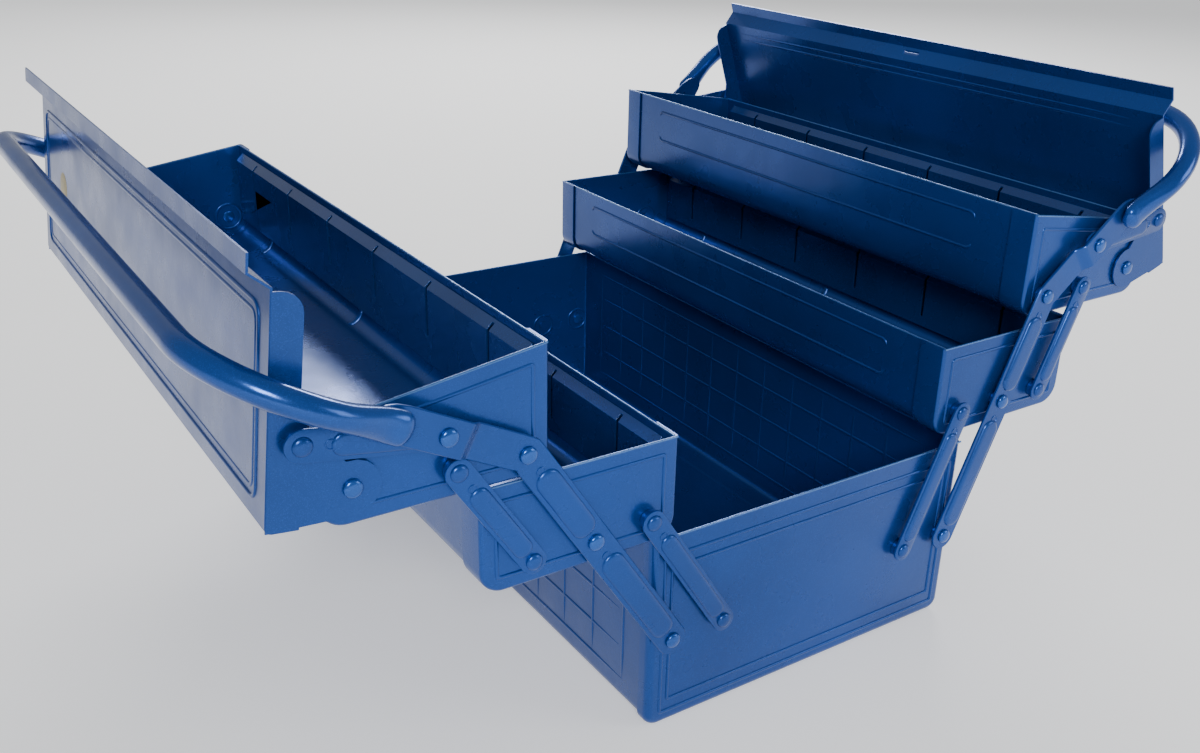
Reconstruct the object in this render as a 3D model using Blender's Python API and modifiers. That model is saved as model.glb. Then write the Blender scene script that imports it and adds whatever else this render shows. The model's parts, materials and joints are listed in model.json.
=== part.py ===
"""Cantilever toolbox in pressed sheet steel.

A deep base carries two mid trays and two top trays, which swing out to the left and
right on parallel links. Each top tray has its own lid, and each side its own handle,
whose arms are the long links of that side.

Frame: metres, +Z up, origin at the centre of the base's underside. X runs across the
box and Y along it, with the near end at -Y. A side's pieces are laid out in u, outward
from the box, and w, upward, so x = side * u with side +1 on the right, -1 on the left.
"""
import math

import bmesh
import bpy
from mathutils import Matrix, Vector

MM = 0.001                      # the lengths below are in millimetres

# Sheet metal
SHEET = 1.0                     # thickness of every pressed shell
GAP = 0.3                       # clearance between pieces that touch
STACK_GAP = 0.5                 # a tray stands this far above the rim below it

# Base
BOX_LENGTH = 412.0
BASE_WIDTH = 220.0
BASE_HEIGHT = 115.0
BASE_CORNER = 8.0
BASE_FLANGE = 9.0               # depth of the end panels' flange along the walls
BASE_PRESSING_MARGIN = 16.0     # plain border round the pressed-down bottom panel
PRESSING_SLOPE = 3.0

# Trays
CENTRE_GAP = 2.2                # from a closed tray's inner wall to the middle plane
MID_SETBACK = 0.8               # a closed tray's outer wall stands in from the base's by this
MID_HEIGHT = 55.0
TOP_SETBACK = 1.8
TOP_HEIGHT = 62.5               # at the inner wall; the rim falls away outward
ROOF_SLOPE = math.radians(8.5)
TRAY_CORNER = 12.0
TRAY_FLANGE = 18.0

# Divider rails inside the trays
RAIL_DROP = 4.0                 # from the rim to the rail's top edge
RAIL_REACH = 4.5
RAIL_BEVEL_FALL = 4.5
RAIL_FLOOR_GAP = 2.0            # from the corner's bend up to the rail's lower edge
RAIL_END_SETBACK = 10.0
RAIL_FOLD = 0.4                 # the sheet behind the knee starts this far below it
SLOT_SPACE = 65.0               # about one divider slot in each such length
SLOT_WIDTH = 2.2
SLOT_DEPTH = 30.0
SLOT_FOOT = 3.0                 # sheet left below a slot
SLOT_SETBACK = 1.4              # a slot starts this far in front of the wall

# Linkage
TOP_PIVOT_CLOSED = 15.887       # the arms' upper pivots to the middle plane, with the box closed
ARM_PIVOT_INSET = 10.5          # from the base's long wall
ARM_PIVOT_DROP = 58.0           # from the base's rim
LOWER_LINK_INSET = 33.3         # the lower links' pivots lie inward of the arms'
UPPER_LINK_OFFSET = 33.0        # the upper links' pivots lie outward of the arms'
LOWER_REACH = 87.1              # arm pivot on the base to the one on the mid tray
UPPER_REACH = 65.6              # mid tray pivot to top tray pivot
ARM_HALF_WIDTH = 8.5
LINK_HALF_WIDTH = 6.5
ARM_SHEET = 1.8
LINK_SHEET = 1.6

# Handle, in the arm's own frame, where the arm stands upright
GRIP_HALF_GAP = 0.53            # between the closed box's grips, to the middle plane
LID_LINK_PIVOT_REACH = 44.0
JOGGLE_START = 28.5
JOGGLE_END = 35.5
TONGUE_TAPER = 72.0             # the arm narrows from here, under the tube
TONGUE_END = 80.0
TONGUE_HALF_WIDTH = 3.4
TUBE_START = 74.0
TUBE_RADIUS = 6.0
GRIP_REACH = 149.0
HANDLE_BEND = 46.0
KNEE_REACH = 6.0                # the knee's curve runs this far each way from its pivot
KNEE_STEPS = 2
ARM_TIP_HALF_WIDTH = 1.02
ROUND_STEPS = 6
BEND_STEPS = 7
FLARE_STEPS = 4

# Lid, in its own frame about its pivot on the top tray
LID_PIVOT_INSET = 14.1          # from the top tray's outer wall
LID_PIVOT_W = 3.9               # above the arm's pivot on the top tray
LID_FACE = 35.5                 # pivot to the outer face of the lid's panel
LID_SKIRT_EDGE = -15.0
LID_SKIRT_DEPTH = 14.0
LID_STEP_RISE = 9.0
LID_STEP_LENGTH = 6.0
LID_STRIP_LENGTH = 8.0
LID_CENTRE_GAP = 2.0            # from a closed lid's edge to the middle plane
LID_EDGE_BEND = 3.0
LID_EAR_WIDTH = 13.0
LID_EAR_CORNER = 9.0
LID_EAR_TAPER = (4.0, 10.0)     # inward and down, from the flange's neck to its lobe
LID_EAR_NECK = 36.0
LID_LOBE = 12.5
LOBE_START = math.radians(75)
LOBE_END = math.radians(262)
LID_OPEN_LEAN = math.radians(6.5)
LID_TURN = math.radians(75.696)  # from open to closed, against its tray
LID_SLOT_LENGTH = 14.0
LID_SLOT_WIDTH = 3.0
LINK_EYE_REACH = 33.8           # lid pivot to the lid link's eye
LINK_EYE_ANGLE = math.radians(46.6)
LID_LINK_HALF_WIDTH = 7.2

# Layers outward from an end panel's face
EAR_LAYER = 0.4
EAR_LAP = 0.2                   # the lid's panel stops this far inside its ears' outer faces
ARM_LAYER = 3.6
LINK_LAYER = 3.7
LID_LINK_LAYER = 4.3
HANDLE_LAYER = 7.6
TUBE_LAYER = 13.2               # the tube's centreline where it meets the arm
FLARED_LAYER = 19.0             # and where it passes the lid's edge

# Rivets
SHANK = 2.0
HEAD_RADIUS = 4.25
HEAD_HEIGHT = 2.0
TAIL_RADIUS = 3.8
TAIL_HEIGHT = 1.2
COLLAR_RADIUS = 5.2
RIVET_STEPS = 8
HOLE_SIDES = 8
OVERCUT = 4.0                   # cutters run this far past the face they cut

HALF_LENGTH = BOX_LENGTH / 2
HOLE = SHANK + GAP
ARM_PIVOT_U = BASE_WIDTH / 2 - ARM_PIVOT_INSET
ARM_PIVOT_Z = BASE_HEIGHT - ARM_PIVOT_DROP

# The arms stand this far from upright, open or closed
SWING = math.asin((ARM_PIVOT_U - TOP_PIVOT_CLOSED) / (LOWER_REACH + UPPER_REACH))
# The handle turns outward from the arm by this, so that the closed box's grips just clear
HANDLE_LEAN = SWING - math.asin((TOP_PIVOT_CLOSED - TUBE_RADIUS - GRIP_HALF_GAP) / GRIP_REACH)
LID_RATIO = LID_TURN / (2 * SWING)  # lid angle for each unit of arm angle

MID_WIDTH = BASE_WIDTH / 2 - CENTRE_GAP - MID_SETBACK
TOP_WIDTH = BASE_WIDTH / 2 - CENTRE_GAP - TOP_SETBACK
REST_ANGLE = {"left": SWING, "right": math.radians(22.9)}
SIDE_SIGN = {"left": -1, "right": 1}
END_SIGN = {"near": -1, "far": 1}

BLUE = (0.012, 0.075, 0.30, 1.0)
NAVY = (0.008, 0.030, 0.11, 1.0)
STEEL = (0.10, 0.20, 0.42, 1.0)


# ---------------------------------------------------------------- scene and helpers

def clear_scene():
    for old in list(bpy.data.objects):
        bpy.data.objects.remove(old, do_unlink=True)


def new_collection(name):
    made = bpy.data.collections.new(name)
    bpy.context.scene.collection.children.link(made)
    return made


def paint(piece, colour, roughness, metallic):
    finish = bpy.data.materials.new(piece.name + "_finish")
    finish.use_nodes = True
    shader = finish.node_tree.nodes["Principled BSDF"]
    shader.inputs["Base Color"].default_value = colour
    shader.inputs["Roughness"].default_value = roughness
    shader.inputs["Metallic"].default_value = metallic
    piece.data.materials.clear()
    piece.data.materials.append(finish)


def place(mesh, name, home, colour=BLUE, roughness=0.35, metallic=0.5):
    """Link a mesh as a named piece of the toolbox."""
    piece = bpy.data.objects.new(name, mesh)
    home.objects.link(piece)
    paint(piece, colour, roughness, metallic)
    return piece


def as_tool(mesh, name, owner, tools):
    """Link a mesh as a hidden cutter or guide that moves with its owner."""
    tool = bpy.data.objects.new(name, mesh)
    tools.objects.link(tool)
    tool.hide_render = True
    tool.display_type = "WIRE"
    tool.parent = owner
    return tool


def combine(piece, tool, operation):
    step = piece.modifiers.new(operation.lower(), "BOOLEAN")
    step.operation = operation
    step.object = tool
    step.solver = "EXACT"


def thicken(piece, thickness):
    """Give an open surface its sheet thickness, inward from its outer face."""
    step = piece.modifiers.new("sheet", "SOLIDIFY")
    step.thickness = thickness * MM
    step.offset = -1.0
    step.use_even_offset = True


def curve_mesh(data):
    """Turn curve data into a welded mesh in its own frame."""
    holder = bpy.data.objects.new("curve", data)
    bpy.context.scene.collection.objects.link(holder)
    graph = bpy.context.evaluated_depsgraph_get()
    mesh = bpy.data.meshes.new_from_object(holder.evaluated_get(graph))
    bpy.data.objects.remove(holder, do_unlink=True)
    made = bmesh.new()
    made.from_mesh(mesh)
    bmesh.ops.remove_doubles(made, verts=made.verts, dist=0.01 * MM)
    made.to_mesh(mesh)
    made.free()
    return mesh


def flat_plate(outline, y0, y1):
    """A plate cut to an outline in u and w, between two Y planes."""
    data = bpy.data.curves.new("outline", "CURVE")
    data.dimensions = "2D"
    data.fill_mode = "BOTH"
    data.extrude = abs(y1 - y0) / 2 * MM
    spline = data.splines.new("POLY")
    spline.points.add(len(outline) - 1)
    for point, (u, w) in zip(spline.points, outline):
        point.co = (u * MM, w * MM, 0.0, 1.0)
    spline.use_cyclic_u = True
    mesh = curve_mesh(data)
    upright = Matrix.Rotation(math.pi / 2, 4, "X")
    middle = Matrix.Translation((0.0, (y0 + y1) / 2 * MM, 0.0))
    mesh.transform(middle @ upright)
    return mesh


def arc(centre, radius, start, end, steps):
    """Points on an arc; angles are measured from +u towards +w."""
    turn = (end - start) / steps
    angles = [start + turn * k for k in range(steps + 1)]
    return [(centre[0] + radius * math.cos(t), centre[1] + radius * math.sin(t)) for t in angles]


def mirror_u(points, side):
    return [(side * u, w) for u, w in points]


def direction(angle):
    """Unit vector in u and w, at an angle from upright towards outward."""
    return Vector((math.sin(angle), math.cos(angle)))


def turned(profile, sign, steps=RIVET_STEPS):
    """A turned solid on the Y axis from (radius, y) pairs that run out from the near end."""
    mesh = bpy.data.meshes.new("turned")
    made = bmesh.new()
    points = [made.verts.new((r * MM, 0.0, -y * MM)) for r, y in profile]
    for first, second in zip(points, points[1:]):
        made.edges.new((first, second))
    bmesh.ops.spin(made, geom=made.verts[:] + made.edges[:], cent=(0, 0, 0), axis=(0, 0, 1),
                   angle=2 * math.pi, steps=steps, use_merge=True)
    bmesh.ops.remove_doubles(made, verts=made.verts, dist=0.01 * MM)
    bmesh.ops.recalc_face_normals(made, faces=made.faces)
    made.to_mesh(mesh)
    made.free()
    mesh.transform(Matrix.Rotation(math.pi / 2 * sign, 4, "X"))
    mesh.shade_smooth()
    mesh.set_sharp_from_angle(angle=math.radians(35))
    return mesh


def shift(mesh, u, y, w, side=1):
    mesh.transform(Matrix.Translation((side * u * MM, y * MM, w * MM)))
    return mesh


def box_mesh(width, length, height):
    """A block in u, y and w, centred on the origin."""
    made = bmesh.new()
    bmesh.ops.create_cube(made, size=1.0)
    block = bpy.data.meshes.new("block")
    made.to_mesh(block)
    made.free()
    block.transform(Matrix.Diagonal((width * MM, length * MM, height * MM, 1)))
    return block


def joined(meshes, name):
    """Several closed meshes as one mesh data block, for a cutter or a guide."""
    made = bmesh.new()
    for mesh in meshes:
        made.from_mesh(mesh)
    result = bpy.data.meshes.new(name)
    made.to_mesh(result)
    made.free()
    return result


def drill(piece, centres, radius, y0, y1, tools, name):
    """Cut round holes along Y at (u, w) centres in the piece's own frame."""
    pins = []
    for u, w in centres:
        pins.append(shift(turned([(0, y0), (radius, y0), (radius, y1), (0, y1)], 1, HOLE_SIDES),
                          u, 0, w))
    cutter = as_tool(joined(pins, name), name, piece, tools)
    combine(piece, cutter, "DIFFERENCE")


# ---------------------------------------------------------------- pressed shells

def channel_path(inner, outer, bottom, rim_inner, rim_outer, corner, steps=4):
    """U-shaped path in u and w: down the inner wall, across the bottom, up the outer."""
    path = [(inner, rim_inner)]
    path += arc((inner + corner, bottom + corner), corner, math.pi, 1.5 * math.pi, steps)
    path += arc((outer - corner, bottom + corner), corner, 1.5 * math.pi, 2 * math.pi, steps)
    path.append((outer, rim_outer))
    return path


def face_outward(made, probe):
    """Turn all faces if the one that faces most along the probe looks inward."""
    made.normal_update()
    best = max(made.faces, key=lambda face: abs(face.normal.dot(probe)) * face.calc_area())
    if best.normal.dot(probe) < 0:
        bmesh.ops.reverse_faces(made, faces=made.faces)


def channel(path, side, half_length, name, home, colour, press=None):
    """A wrap: a bent sheet that runs the length of a tray between its end panels."""
    made = bmesh.new()
    rows = []
    for y in (-half_length, half_length):
        rows.append([made.verts.new((side * u * MM, y * MM, w * MM)) for u, w in path])
    for k in range(len(path) - 1):
        made.faces.new((rows[0][k], rows[0][k + 1], rows[1][k + 1], rows[1][k]))
    face_outward(made, Vector((0, 0, -1)))
    if press:
        bottom = max(made.faces, key=lambda face: -face.normal.z * face.calc_area())
        bmesh.ops.inset_region(made, faces=[bottom], thickness=press[0] * MM, use_boundary=True)
        bmesh.ops.inset_region(made, faces=[bottom], thickness=press[1] * MM, depth=press[2] * MM)
    mesh = bpy.data.meshes.new(name)
    made.to_mesh(mesh)
    made.free()
    piece = place(mesh, name, home, colour)
    thicken(piece, SHEET)
    return piece


def end_panel(path, side, end, flange, holes, name, home, tools):
    """An end panel: a plate whose flange laps outside the wrap's walls and bottom."""
    made = bmesh.new()
    y_face = end * HALF_LENGTH
    rim = [made.verts.new((side * u * MM, y_face * MM, w * MM)) for u, w in path]
    plate = made.faces.new(rim)
    edges = [edge for edge in plate.edges if {rim[0], rim[-1]} != set(edge.verts)]
    lapped = bmesh.ops.extrude_edge_only(made, edges=edges)
    new_points = [item for item in lapped["geom"] if isinstance(item, bmesh.types.BMVert)]
    bmesh.ops.translate(made, verts=new_points, vec=(0, -end * flange * MM, 0))
    bmesh.ops.recalc_face_normals(made, faces=made.faces)
    face_outward(made, Vector((0, end, 0)))
    mesh = bpy.data.meshes.new(name)
    made.to_mesh(mesh)
    made.free()
    piece = place(mesh, name, home)
    thicken(piece, SHEET)
    reach = sorted((y_face - end * OVERCUT, y_face + end * OVERCUT))
    drill(piece, mirror_u(holes, side), HOLE, reach[0], reach[1], tools, name + "_holes")
    return piece


def inset_path(inner, outer, bottom, rim_inner, rim_outer, corner):
    """The wrap's path, inside the end panels' flange by a sheet and a gap."""
    lap = SHEET + GAP
    return channel_path(inner + lap, outer - lap, bottom + lap, rim_inner, rim_outer, corner - lap)


def divider_rail(wall, facing, rim, floor, side, name, home, tools):
    """A bent strip along a tray wall, cut with slots for dividers."""
    top = rim - RAIL_DROP
    knee = top - RAIL_BEVEL_FALL
    foot = floor + TRAY_CORNER + RAIL_FLOOR_GAP
    face = wall + facing * GAP
    front = face + facing * RAIL_REACH
    back = front - facing * SHEET
    outline = [(face, top), (front, knee), (front, foot), (back, foot)]
    outline += [(back, knee - RAIL_FOLD), (face, top - RAIL_FOLD - SHEET)]
    length = HALF_LENGTH - RAIL_END_SETBACK
    piece = place(flat_plate(mirror_u(outline, side), -length, length), name, home, STEEL)
    count = int(BOX_LENGTH / SLOT_SPACE)
    first = -(count - 1) / 2 * SLOT_SPACE
    low = max(top - SLOT_DEPTH, foot + SLOT_FOOT)
    height = top + SHEET - low
    middle = face + facing * (SLOT_SETBACK + RAIL_REACH)
    blocks = []
    for k in range(count):
        block = box_mesh(2 * RAIL_REACH, SLOT_WIDTH, height)
        blocks.append(shift(block, middle, first + k * SLOT_SPACE, low + height / 2, side))
    cutter = as_tool(joined(blocks, name + "_slots"), name + "_slots", piece, tools)
    combine(piece, cutter, "DIFFERENCE")
    return piece


# ---------------------------------------------------------------- rivets and links

def tail_profile(tail_face):
    """Radius and Y for a rivet's tail, inside the panel, out to its shank."""
    return [(0, tail_face - TAIL_HEIGHT), (TAIL_RADIUS, tail_face - TAIL_HEIGHT),
            (TAIL_RADIUS, tail_face), (SHANK, tail_face)]


def rivet_profile(tail_face, collar, head_face):
    """Radius and Y for a rivet: tail inside the panel, optional collar, domed head."""
    profile = tail_profile(tail_face)
    if collar:
        profile += [(SHANK, collar[0]), (COLLAR_RADIUS, collar[0]),
                    (COLLAR_RADIUS, collar[1]), (SHANK, collar[1])]
    profile += [(SHANK, head_face), (HEAD_RADIUS, head_face),
                (HEAD_RADIUS, head_face + 0.3 * HEAD_HEIGHT),
                (0.6 * HEAD_RADIUS, head_face + 0.9 * HEAD_HEIGHT), (0, head_face + HEAD_HEIGHT)]
    return profile


def rivet(name, u, w, end, tail_face, collar, head_face, side, home):
    """A separate rivet; its faces are given outward from the end panel's face."""
    def from_centre(value):
        return HALF_LENGTH + value
    span = None
    if collar:
        span = (from_centre(collar[0]), from_centre(collar[1]))
    profile = rivet_profile(from_centre(tail_face), span, from_centre(head_face))
    piece = place(turned(profile, end), name, home, STEEL, 0.3, 0.8)
    piece.location = (side * u * MM, 0, w * MM)
    return piece


def stadium(length, radius, steps=6):
    """A round-ended bar that runs from the origin straight up."""
    low = arc((0, 0), radius, math.pi, 2 * math.pi, steps)
    return low + arc((0, length), radius, 0, math.pi, steps)


def y_pair(end, first, second):
    """Two Y values at an end, in rising order, from offsets out of its face."""
    return sorted((end * (HALF_LENGTH + first), end * (HALF_LENGTH + second)))


def pinned_link(name, length, end, home, tools):
    """A short link with its two rivets, which turn in the panels they pass through."""
    near, far = y_pair(end, LINK_LAYER, LINK_LAYER + LINK_SHEET)
    piece = place(flat_plate(stadium(length, LINK_HALF_WIDTH), near, far), name, home)
    foot = HALF_LENGTH + GAP
    inside = HALF_LENGTH + LINK_LAYER + LINK_SHEET / 2
    profile = tail_profile(HALF_LENGTH - SHEET - GAP)
    profile += [(SHANK, foot), (COLLAR_RADIUS, foot), (COLLAR_RADIUS, inside)]
    profile += link_head(inside)
    pins = [turned(profile, end), shift(turned(profile, end), 0, 0, length)]
    guide = as_tool(joined(pins, name + "_pins"), name + "_pins", piece, tools)
    combine(piece, guide, "UNION")
    return piece


def link_head(inside):
    """The head of a rivet that is one solid with its link, from inside the link's sheet."""
    top = inside + LINK_SHEET / 2 + HEAD_HEIGHT
    return [(HEAD_RADIUS, inside), (HEAD_RADIUS, top - 0.7 * HEAD_HEIGHT),
            (0.6 * HEAD_RADIUS, top - 0.1 * HEAD_HEIGHT), (0, top)]


def lid_link(name, end, home, tools):
    """The link from a handle arm to the lid's ear; it runs up from its handle pivot."""
    near, far = y_pair(end, LID_LINK_LAYER, LID_LINK_LAYER + LINK_SHEET)
    length = lid_link_motion()[0]
    outline = stadium(length, LID_LINK_HALF_WIDTH)
    piece = place(flat_plate(outline, near, far), name, home)
    inside = HALF_LENGTH + LID_LINK_LAYER + LINK_SHEET / 2
    foot = HALF_LENGTH + EAR_LAYER + SHEET + GAP
    profile = [(0, foot), (COLLAR_RADIUS, foot), (COLLAR_RADIUS, inside)] + link_head(inside)
    eye = shift(turned(profile, end), 0, 0, length)
    guide = as_tool(eye, name + "_eye", piece, tools)
    combine(piece, guide, "UNION")
    drill(piece, [(0, 0)], HOLE, near - OVERCUT, far + OVERCUT, tools, name + "_hole")
    return piece


# ---------------------------------------------------------------- handle

def arm_stations():
    """Centre, direction, half width and layer of each cross-section along an arm."""
    knee = Vector((0, LOWER_REACH + UPPER_REACH))
    up = Vector((0, 1))
    lean = direction(HANDLE_LEAN)
    stations = []
    for k in range(ROUND_STEPS + 1):
        turn = math.pi / 2 * k / ROUND_STEPS
        half = max(ARM_HALF_WIDTH * math.sin(turn), ARM_TIP_HALF_WIDTH)
        stations.append((up * (-ARM_HALF_WIDTH * math.cos(turn)), up, half, ARM_LAYER))
    stations.append((up * LOWER_REACH, up, ARM_HALF_WIDTH, ARM_LAYER))
    for k in range(-KNEE_STEPS, KNEE_STEPS + 1):
        part = k / KNEE_STEPS
        along = direction(HANDLE_LEAN * (part + 1) / 2)
        centre = knee + (up if k < 0 else lean) * (KNEE_REACH * part)
        stations.append((centre, along, ARM_HALF_WIDTH, ARM_LAYER))
    for reach, half, layer in ((JOGGLE_START, ARM_HALF_WIDTH, ARM_LAYER),
                               (JOGGLE_END, ARM_HALF_WIDTH, HANDLE_LAYER),
                               (TONGUE_TAPER, ARM_HALF_WIDTH, HANDLE_LAYER),
                               (TONGUE_END, TONGUE_HALF_WIDTH, HANDLE_LAYER)):
        stations.append((knee + lean * reach, lean, half, layer))
    return stations


def arm_sheet(side, end):
    """An arm's outer face as an open strip; the sheet is thickened inward from it."""
    made = bmesh.new()
    rows = []
    for centre, along, half, layer in arm_stations():
        across = Vector((along.y, -along.x))
        y = end * (HALF_LENGTH + layer + ARM_SHEET)
        row = []
        for edge in (centre - across * half, centre + across * half):
            row.append(made.verts.new((side * edge.x * MM, y * MM, edge.y * MM)))
        rows.append(row)
    for low, high in zip(rows, rows[1:]):
        made.faces.new((low[0], low[1], high[1], high[0]))
    face_outward(made, Vector((0, end, 0)))
    mesh = bpy.data.meshes.new("arm")
    made.to_mesh(mesh)
    made.free()
    return mesh


def handle_tube(side):
    """Round tube from one arm, round a bend, along the grip and back to the other arm."""
    knee = Vector((0, LOWER_REACH + UPPER_REACH))
    lean = direction(HANDLE_LEAN)
    y_tube = HALF_LENGTH + FLARED_LAYER
    bend_start = GRIP_REACH - HANDLE_BEND
    half = []
    for k in range(FLARE_STEPS):
        part = k / FLARE_STEPS
        ease = (1 - math.cos(math.pi * part)) / 2
        layer = TUBE_LAYER + (FLARED_LAYER - TUBE_LAYER) * ease
        half.append((TUBE_START + (bend_start - TUBE_START) * part, HALF_LENGTH + layer))
    for k in range(BEND_STEPS + 1):
        turn = math.pi / 2 * k / BEND_STEPS
        reach = bend_start + HANDLE_BEND * math.sin(turn)
        half.append((reach, y_tube - HANDLE_BEND * (1 - math.cos(turn))))
    route = [(reach, -y) for reach, y in half] + [(reach, y) for reach, y in reversed(half)]
    data = bpy.data.curves.new("tube", "CURVE")
    data.dimensions = "3D"
    data.bevel_depth = TUBE_RADIUS * MM
    data.bevel_resolution = 3
    data.use_fill_caps = True
    spline = data.splines.new("POLY")
    spline.points.add(len(route) - 1)
    for point, (reach, y) in zip(spline.points, route):
        centre = knee + lean * reach
        point.co = (side * centre.x * MM, y * MM, centre.y * MM, 1.0)
    return curve_mesh(data)


def build_handle(label, side, home, tools):
    name = label + "_handle"
    piece = place(handle_tube(side), name, home)
    for end_name, end in END_SIGN.items():
        strip = as_tool(arm_sheet(side, end), name + "_arm_" + end_name, piece, tools)
        thicken(strip, ARM_SHEET)
        combine(piece, strip, "UNION")
    knee = Vector((0, LOWER_REACH + UPPER_REACH))
    lid_pivot = knee + direction(HANDLE_LEAN) * LID_LINK_PIVOT_REACH
    centres = [(0, 0), (0, LOWER_REACH), (0, knee.y), (side * lid_pivot.x, lid_pivot.y)]
    reach = HALF_LENGTH + HANDLE_LAYER + ARM_SHEET + OVERCUT
    drill(piece, centres, HOLE, -reach, reach, tools, name + "_holes")
    return piece


# ---------------------------------------------------------------- lid

def lid_panel_top():
    """How far the lid's panel reaches from its pivot, so that a closed lid ends at the middle."""
    closed_top = ARM_PIVOT_U - (LOWER_REACH + UPPER_REACH) * math.sin(SWING)
    lean = math.pi / 2 - LID_OPEN_LEAN - 2 * SWING * LID_RATIO
    pivot = closed_top + lid_pivot_u()
    strip_end = pivot + (LID_FACE + LID_STEP_RISE) * math.sin(lean) - LID_CENTRE_GAP
    return strip_end / math.cos(lean) - LID_STRIP_LENGTH - LID_STEP_LENGTH


def lid_profile():
    """Outer face of the lid in u and w: skirt, panel, step and closing strip."""
    outer = LID_FACE
    bend = LID_EDGE_BEND
    panel_top = lid_panel_top()
    path = [(outer - LID_SKIRT_DEPTH, LID_SKIRT_EDGE)]
    path += arc((outer - bend, LID_SKIRT_EDGE + bend), bend, -math.pi / 2, 0, 3)
    path.append((outer, panel_top))
    step_top = panel_top + LID_STEP_LENGTH
    path.append((outer + LID_STEP_RISE, step_top))
    path.append((outer + LID_STEP_RISE, step_top + LID_STRIP_LENGTH))
    return path


def ear_outline():
    """A lid ear: a flange down the panel that widens into a lobe round the pivot."""
    face = LID_FACE - 0.4 * SHEET
    slim = LID_FACE - LID_EAR_WIDTH
    edge = LID_SKIRT_EDGE + 0.4 * SHEET
    top = lid_panel_top() - SHEET
    corner = LID_EAR_CORNER
    lobe = (slim - LID_EAR_TAPER[0], LID_EAR_NECK - LID_EAR_TAPER[1])
    outline = [(face, edge), (face, top)]
    outline += arc((slim + corner, top - corner), corner, math.pi / 2, math.pi, 5)
    outline += [(slim, LID_EAR_NECK), lobe]
    outline += arc((0, 0), LID_LOBE, LOBE_START, LOBE_END, 9)
    return outline


def build_lid(label, side, home, tools):
    name = label + "_lid"
    half = HALF_LENGTH + EAR_LAYER + SHEET - EAR_LAP
    piece = channel(lid_profile(), side, half, name, home, BLUE)
    panel = max(piece.data.polygons, key=lambda face: face.area)
    if panel.normal.x * side < 0:
        piece.data.flip_normals()
    for end_name, end in END_SIGN.items():
        near, far = y_pair(end, EAR_LAYER, EAR_LAYER + SHEET)
        plate = flat_plate(mirror_u(ear_outline(), side), near, far)
        ear = as_tool(plate, name + "_ear_" + end_name, piece, tools)
        combine(piece, ear, "UNION")
    reach = HALF_LENGTH + OVERCUT
    drill(piece, [(0, 0)], HOLE, -reach, reach, tools, name + "_holes")
    block = box_mesh(LID_SLOT_WIDTH, LID_SLOT_LENGTH, LID_STEP_LENGTH + 2 * OVERCUT)
    slot_w = lid_panel_top() + LID_STEP_LENGTH / 2
    slot = shift(block, LID_FACE + LID_STEP_RISE / 2, 0, slot_w, side)
    combine(piece, as_tool(slot, name + "_hasp_slot", piece, tools), "DIFFERENCE")
    return piece


# ---------------------------------------------------------------- mechanism

def tray_sizes():
    """Each tray's faces relative to the arm's pivot on it."""
    closed_mid = ARM_PIVOT_U - LOWER_REACH * math.sin(SWING)
    closed_top = closed_mid - UPPER_REACH * math.sin(SWING)
    mid_pivot_z = ARM_PIVOT_Z + LOWER_REACH * math.cos(SWING)
    top_pivot_z = mid_pivot_z + UPPER_REACH * math.cos(SWING)
    mid_bottom = BASE_HEIGHT + STACK_GAP - mid_pivot_z
    mid_inner = CENTRE_GAP - closed_mid
    mid_rim = mid_bottom + MID_HEIGHT
    top_bottom = mid_pivot_z + mid_rim + STACK_GAP - top_pivot_z
    top_inner = CENTRE_GAP - closed_top
    top_rim = top_bottom + TOP_HEIGHT
    outer_rim = top_rim - TOP_WIDTH * math.tan(ROOF_SLOPE)
    mid = (mid_inner, mid_inner + MID_WIDTH, mid_bottom, mid_rim, mid_rim, TRAY_CORNER)
    top = (top_inner, top_inner + TOP_WIDTH, top_bottom, top_rim, outer_rim, TRAY_CORNER)
    return mid, top


def lid_pivot_u():
    """The lid's pivot, outward of the arm's pivot on the top tray."""
    return tray_sizes()[1][1] - LID_PIVOT_INSET


def lid_link_vector(closing):
    """From the lid link's pivot on the handle to its eye on the lid, at a closing angle."""
    handle_pivot = direction(SWING - closing + HANDLE_LEAN) * LID_LINK_PIVOT_REACH
    lid_angle = -(LID_OPEN_LEAN + LID_RATIO * closing)
    eye = Vector((lid_pivot_u(), LID_PIVOT_W))
    eye += direction(lid_angle + LINK_EYE_ANGLE) * LINK_EYE_REACH
    return eye - handle_pivot


def lid_link_motion():
    """The lid link's length, its angle with the side open, and its turn per arm angle.

    The distance it spans changes by a few millimetres over the swing, so its length
    lies midway between the shortest and the longest.
    """
    opened = lid_link_vector(0.0)
    middle = lid_link_vector(SWING)
    closed = lid_link_vector(2 * SWING)
    first = math.atan2(opened.x, opened.y)
    last = math.atan2(closed.x, closed.y)
    return (middle.length + closed.length) / 2, first, (last - first) / (2 * SWING)


# ---------------------------------------------------------------- assembly

def build_base(home, tools):
    half = BASE_WIDTH / 2
    sizes = (-half, half, 0.0, BASE_HEIGHT, BASE_HEIGHT, BASE_CORNER)
    press = (BASE_PRESSING_MARGIN, PRESSING_SLOPE, SHEET + GAP)
    wrap_half = HALF_LENGTH - SHEET - GAP
    channel(inset_path(*sizes), 1, wrap_half, "base_wrap", home, NAVY, press)
    inner_u = ARM_PIVOT_U - LOWER_LINK_INSET
    holes = [(u, ARM_PIVOT_Z) for u in (-ARM_PIVOT_U, -inner_u, inner_u, ARM_PIVOT_U)]
    for end_name, end in END_SIGN.items():
        name = "base_end_" + end_name
        end_panel(channel_path(*sizes), 1, end, BASE_FLANGE, holes, name, home, tools)


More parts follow.
